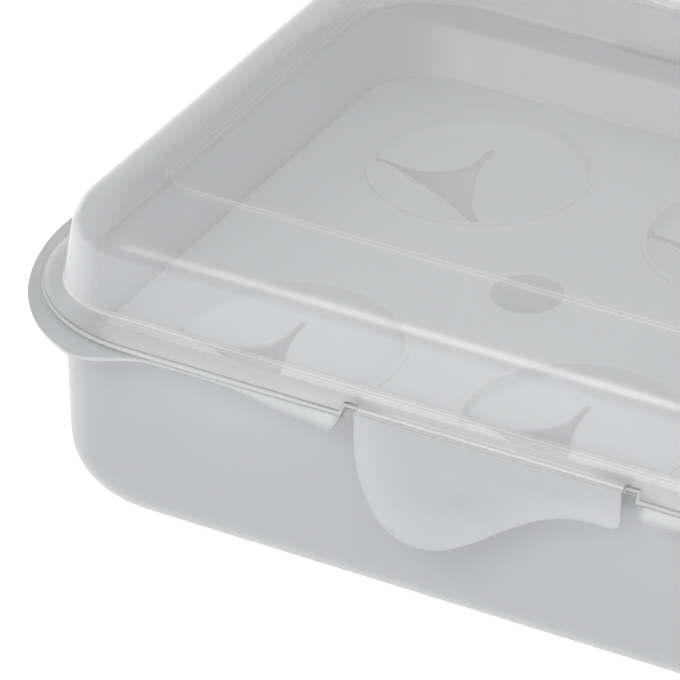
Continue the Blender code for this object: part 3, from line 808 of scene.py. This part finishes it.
def film_strip(name, spans, path):
    """A thin strip swept across its spans in X, bent along a path of (y, z) points."""
    bm = bmesh.new()
    for start, end in spans:
        places = [start + (end - start) * step / FILM_STEPS for step in range(FILM_STEPS + 1)]
        rows = [[bm.verts.new((x, y, z)) for x in places] for y, z in path]
        for near, far in zip(rows, rows[1:]):
            for step in range(FILM_STEPS):
                bm.faces.new((near[step], near[step + 1], far[step + 1], far[step]))
    bmesh.ops.recalc_face_normals(bm, faces=bm.faces)
    obj = piece(name, bm)
    solid = obj.modifiers.new("film", "SOLIDIFY")
    solid.thickness = sizes().film
    solid.offset = 0
    return settle(obj)


def gathered(name, sources):
    """One object that holds a copy of each source shape at each of its places."""
    bm = bmesh.new()
    for shape, places in sources:
        mesh = bpy.data.meshes.new("shape")
        shape.to_mesh(mesh)
        shape.free()
        for place in places:
            mesh.transform(Matrix.Translation(place))
            bm.from_mesh(mesh)
            mesh.transform(Matrix.Translation(-Vector(place)))
        bpy.data.meshes.remove(mesh)
    return piece(name, bm)


def look_of(name):
    """The finished material of a piece that is already made."""
    return bpy.data.objects[name].data.materials[0]


class EGGBOX_OT_tub(bpy.types.Operator):
    """Makes the tub: rounded bottom, drafted walls and a flange with lips, ears and end grips"""

    bl_idname = "eggbox.tub"
    bl_label = "Make the tub"

    def execute(self, context):
        size = sizes()
        dense_haze = colours().flange_haze
        tub = shell("tub_shell", tub_rings())
        changes = (
            ("Z", size.rim - size.lip_drop, size.rim - size.tub_grip_drop, dense_haze),
            ("X", size.half_length - size.body_corner, size.half_length, dense_haze),
        )
        # The tub's darker colour is painted shade that offsets the light from the bright floor below.
        material = milky("tub_plastic", colours().tub, colours().tub_haze, 0.36, 0.1, changes)
        finish_piece(tub, "base", material, "tub_plastic", "base_tub")
        return {"FINISHED"}


class EGGBOX_OT_lid(bpy.types.Operator):
    """Makes the domed lid with its sloping flange, margin and flat panel, its painted highlight lines, and the bead
    under its edge, pale as a painted highlight
    """

    bl_idname = "eggbox.lid"
    bl_label = "Make the lid"

    def execute(self, context):
        size = sizes()
        lid = shell("lid_shell", lid_rings())
        changes = (
            ("X", size.half_length - size.panel_inset, size.half_length - size.dome_radius, colours().end_haze),
            ("Y", size.half_depth - size.panel_inset / 2, size.half_depth, colours().end_haze),
        )
        # Painted highlights: a pale line along the dome's foot, and a hazier line along the lid's edge over the
        # clasp.
        seat = lid_slope(size.clasp_edge) + size.line / 3
        lines = (
            (size.rim + size.line, size.line * 2, colours().bead_haze, colours().bead[0], None),
            (seat, size.line, colours().edge_haze, colours().plastic[0], size.clasp_half),
        )
        material = milky("lid_plastic", colours().plastic, colours().lid_haze, 0.25, 0.015, changes, lines)
        finish_piece(lid, "lid", material, "lid_plastic", "lid")
        # The edge bead is paler than the lid as a painted highlight along its edge, and hangs low over the shaded
        # gap under the edge to lighten it.
        pale = milky("bead_highlight_plastic", colours().bead, colours().bead_haze, 0.3)
        edge = [point - Vector((0, 0, size.wall * 0.8)) for point in lid_rings()[0]]
        for point in edge:
            if point.y < 0 and abs(point.x) < size.clasp_half:
                point.y += size.wall * 0.4  # clear of the clasp's flap
        finish_piece(settle(piece("edge_bead", tube(edge, size.wall / 2))), "lid", pale, "lid_plastic")
        return {"FINISHED"}


class EGGBOX_OT_clasp(bpy.types.Operator):
    """Makes the clasp's flap with its curled lobe, its catch rib and the small rib inside the lobe, darkened as
    painted shade
    """

    bl_idname = "eggbox.clasp"
    bl_label = "Make the clasp"

    def execute(self, context):
        size = sizes()
        face = -size.half_depth - size.clasp_face
        root = face - size.wall / 30  # the ribs start a hair inside the flap
        self.flap(face)
        self.catch(root, face + size.catch_reach)
        self.gusset(root)
        return {"FINISHED"}

    def flap(self, face):
        size = sizes()
        bm = bezier_prism("clasp", clasp_knots(), size.wall)
        reach = size.lobe_drop - size.clasp_flare_drop
        for cut in range(LOBE_CUTS):
            height = -size.clasp_flare_drop - reach * cut / LOBE_CUTS
            geometry = list(bm.verts) + list(bm.edges) + list(bm.faces)
            bmesh.ops.bisect_plane(bm, geom=geometry, dist=0.00001, plane_co=(0, height, 0), plane_no=(0, 1, 0))
        for vert in bm.verts:
            share = max(-vert.co.y - size.clasp_flare_drop, 0.0) / reach
            vert.co.z += size.clasp_flare * share * share
        bmesh.ops.remove_doubles(bm, verts=bm.verts, dist=size.wall / 5)
        upright = Matrix.Translation((0, face, size.rim)) @ Matrix.Rotation(math.pi / 2, 4, "X")
        bmesh.ops.transform(bm, matrix=upright, verts=bm.verts)
        # The clasp's darker colour is painted shade, matching the tub wall in the flange's shadow.
        material = milky("clasp_plastic", colours().clasp, colours().clasp_haze, 0.28, 0.05)
        finish_piece(softened("clasp_flap", bm, size.edge), "clasp", material, "clasp_plastic", "front_clasp")

    def catch(self, root, inner):
        size = sizes()
        top = size.rim - size.catch_drop
        bm = bmesh.new()
        bar(bm, (-size.catch_half, root, top - size.catch_height), (size.catch_half, inner, top))
        faint = milky("rib_plastic", colours().clasp, colours().rib_haze)
        finish_piece(softened("catch_rib", bm, size.edge), "clasp", faint, "clasp_plastic")

    def gusset(self, root):
        size = sizes()
        foot = size.rim - size.gusset_drop
        bm = bmesh.new()
        corners = [(x * size.gusset - size.gusset_x, root, foot + z * size.gusset) for x, z in GUSSET_CORNERS]
        bm.faces.new([bm.verts.new(corner) for corner in corners])
        drawn_out(bm, (0, size.catch_reach, 0))
        # Painted shade: the small rib's colour is half the clasp's, so it shows as a dark mark inside the lobe.
        shade = milky("gusset_painted_shade", [channel * 0.5 for channel in colours().clasp], 1.0)
        finish_piece(softened("lobe_gusset", bm, size.edge * 0.75), "clasp", shade, "clasp_plastic")


class EGGBOX_OT_films(bpy.types.Operator):
    """Makes the rear hinge's leaves and the thin films that bend at the back and along the clasp"""

    bl_idname = "eggbox.films"
    bl_label = "Make the hinge films"

    def execute(self, context):
        size = sizes()
        tub_leaf = leaves("tub_hinge_leaves", size.hinge_tub, size.tub_flange)
        finish_piece(tub_leaf, "base", look_of("tub_shell"), "tub_plastic")
        lid_leaf = leaves("lid_hinge_leaves", size.hinge_lid, size.lid_flange)
        finish_piece(lid_leaf, "lid", look_of("lid_shell"), "lid_plastic")
        back = size.half_depth + size.hinge_outset - size.hinge_gap
        low = size.rim - size.hinge_tub - size.hinge_leaf / 2
        high = size.rim - size.hinge_lid - size.hinge_leaf / 2
        bow = size.film
        path = [(back - bow, low), (back, low), (back + bow, (low + high) / 2), (back, high), (back - bow, high)]
        rear = film_strip("rear_films", hinge_spans(), path)
        rear.data.materials.append(look_of("lid_shell"))
        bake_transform(rear)
        edge_z = lid_slope(size.clasp_edge)
        top_z = size.rim - size.clasp_top
        near = -size.half_depth - size.clasp_edge
        far = -size.half_depth - size.clasp_face - size.wall / 2
        seat = edge_z - size.film / 2
        path = [(near + size.film, seat), (near, seat), (far, top_z), (far, top_z - size.wall / 2)]
        front = film_strip("clasp_film", [(-size.clasp_half, size.clasp_half)], path)
        front.data.materials.append(milky("film_plastic", colours().clasp, 1.0))
        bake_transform(front)
        return {"FINISHED"}


class EGGBOX_OT_tray(bpy.types.Operator):
    """Makes the egg tray: a deck with six cups of beaded petals and two hollow pillars"""

    bl_idname = "eggbox.tray"
    bl_label = "Make the egg tray"

    def execute(self, context):
        size = sizes()
        deck = deck_height()
        run = size.rim - size.crest_drop - size.wall
        inset = size.wall + size.tub_draft * (size.tray_drop - size.crest_drop) / run + size.tray_play
        skirt = inset + size.tub_draft * size.tray_skirt / run
        corner = size.body_corner - inset
        flat = inset + size.tray_edge * 2
        sections = [
            (-skirt, -skirt, deck - size.tray_skirt, corner - skirt + inset),
            (-inset, -inset, deck, corner),
            (-flat, -flat, deck, corner - flat + inset),
        ]
        rings = [plan_ring(section, (0.0,)) for section in rounded(sections, (size.tray_edge,), 6)]
        tray = piece("tray_deck", skin(rings))
        thicken(tray)
        walls = gathered(
            "well_walls",
            (
                (turned(cup_profile(0.0, size.cup_lip), CUP_STEPS), cup_places()),
                (turned(pillar_profile(0.0, -size.wall / 2), PILLAR_STEPS), pillar_places()),
            ),
        )
        hollows = gathered(
            "well_hollows",
            (
                (turned(cup_profile(size.wall, CUT_OVER), CUP_STEPS), cup_places()),
                (turned(pillar_profile(size.wall, CUT_OVER), PILLAR_STEPS), pillar_places()),
            ),
        )
        depth = size.cup_fillet + size.cup_sag + CUT_OVER
        star = bezier_prism("star", star_knots(), depth)
        bmesh.ops.translate(star, verts=star.verts, vec=(0, 0, -depth - size.cup_collar))
        stars = gathered("stars", ((star, cup_places()),))
        boolean(tray, "UNION", walls)
        boolean(tray, "DIFFERENCE", hollows)
        boolean(tray, "DIFFERENCE", stars)
        settle(tray)
        drop(walls, hollows, stars)
        # The tray's pale colour is painted light that makes up for the shade under the closed lid.
        material = milky("tray_plastic", colours().tray, colours().tray_haze, bump=0.03)
        finish_piece(tray, "tray", material, "tray_plastic", "egg_tray")
        beads = gathered("petal_beads", ((petal_bead(), cup_places()),))
        finish_piece(settle(beads), "tray", material, "tray_plastic")
        return {"FINISHED"}


class EGGBOX_OT_stage(bpy.types.Operator):
    """Makes the pale floor, the soft lights and the camera at the photograph's angle"""

    bl_idname = "eggbox.stage"
    bl_label = "Make the stage"

    def execute(self, context):
        bm = bmesh.new()
        under = Matrix.Translation((0, 0, -sizes().floor_drop))
        bmesh.ops.create_grid(bm, x_segments=1, y_segments=1, size=4.0, matrix=under)
        floor = piece("floor", bm)
        paper = bpy.data.materials.new("floor_paper")
        paper.use_nodes = True
        shader = paper.node_tree.nodes["Principled BSDF"]
        shader.inputs["Base Color"].default_value = (*colours().floor, 1)
        shader.inputs["Roughness"].default_value = 0.9
        shader.inputs["Emission Color"].default_value = (1, 1, 1, 1)
        shader.inputs["Emission Strength"].default_value = 0.6
        floor.data.materials.append(paper)
        world = bpy.data.worlds.new("soft_room")
        world.use_nodes = True
        nodes = world.node_tree.nodes
        link = world.node_tree.links.new
        towards = nodes.new("ShaderNodeTexCoord")
        split = nodes.new("ShaderNodeSeparateXYZ")
        fall = nodes.new("ShaderNodeMapRange")
        fall.inputs["From Min"].default_value = -1.0
        fall.inputs["From Max"].default_value = 0.2
        fall.inputs["To Min"].default_value = ROOM_LEFT
        fall.inputs["To Max"].default_value = ROOM_RIGHT
        link(towards.outputs["Generated"], split.inputs["Vector"])
        link(split.outputs["X"], fall.inputs["Value"])
        link(fall.outputs["Result"], nodes["Background"].inputs["Strength"])
        nodes["Background"].inputs["Color"].default_value = (1.0, 1.0, 1.0, 1)
        context.scene.world = world
        context.scene.view_settings.view_transform = "Standard"
        self.lamp("key_light", (-0.37, -0.75, 0.91), size=0.50, power=5.2)
        self.lamp("top_light", (0.55, 0.30, 1.10), size=1.10, power=5.0)
        data = bpy.data.cameras.new("photo_view")
        data.lens = CAMERA_LENS
        data.sensor_width = 36.0
        data.clip_start = 0.05
        data.clip_end = 50.0
        camera = bpy.data.objects.new("photo_view", data)
        x, y, height = CAMERA_PLACE
        camera.location = (x, y, height + sizes().rim)
        camera.rotation_euler = [math.radians(angle) for angle in CAMERA_TURN]
        context.scene.collection.objects.link(camera)
        context.scene.camera = camera
        return {"FINISHED"}

    def lamp(self, name, place, size, power):
        data = bpy.data.lights.new(name, "AREA")
        data.shape = "SQUARE"
        data.size = size
        data.energy = power
        light = bpy.data.objects.new(name, data)
        light.location = place
        aim = Vector((0, 0, sizes().rim)) - Vector(place)
        light.rotation_euler = aim.to_track_quat("-Z", "Y").to_euler()
        bpy.context.scene.collection.objects.link(light)


PIECES = (EGGBOX_OT_tub, EGGBOX_OT_lid, EGGBOX_OT_clasp, EGGBOX_OT_films, EGGBOX_OT_tray, EGGBOX_OT_stage)


class EGGBOX_PT_panel(bpy.types.Panel):
    """Lists the box's pieces and its colours"""

    bl_idname = "EGGBOX_PT_panel"
    bl_label = "Egg storage box"
    bl_space_type = "VIEW_3D"
    bl_region_type = "UI"
    bl_category = "Egg Box"

    def draw(self, context):
        column = self.layout.column()
        for made in PIECES:
            column.operator(made.bl_idname)
        for name in EggBoxColours.__annotations__:
            column.prop(context.scene.egg_box_colours, name)
        for name in EggBoxSizes.__annotations__:
            column.prop(context.scene.egg_box_sizes, name)


CLASSES = (EggBoxSizes, EggBoxColours, *PIECES, EGGBOX_PT_panel)


def register():
    for made in CLASSES:
        bpy.utils.register_class(made)
    bpy.types.Scene.egg_box_sizes = bpy.props.PointerProperty(type=EggBoxSizes)
    bpy.types.Scene.egg_box_colours = bpy.props.PointerProperty(type=EggBoxColours)


def unregister():
    del bpy.types.Scene.egg_box_colours
    del bpy.types.Scene.egg_box_sizes
    for made in reversed(CLASSES):
        bpy.utils.unregister_class(made)


def main():
    register()
    bpy.ops.eggbox.tub()
    bpy.ops.eggbox.lid()
    bpy.ops.eggbox.clasp()
    bpy.ops.eggbox.films()
    bpy.ops.eggbox.tray()
    bpy.ops.eggbox.stage()


if __name__ == "__main__":
    main()
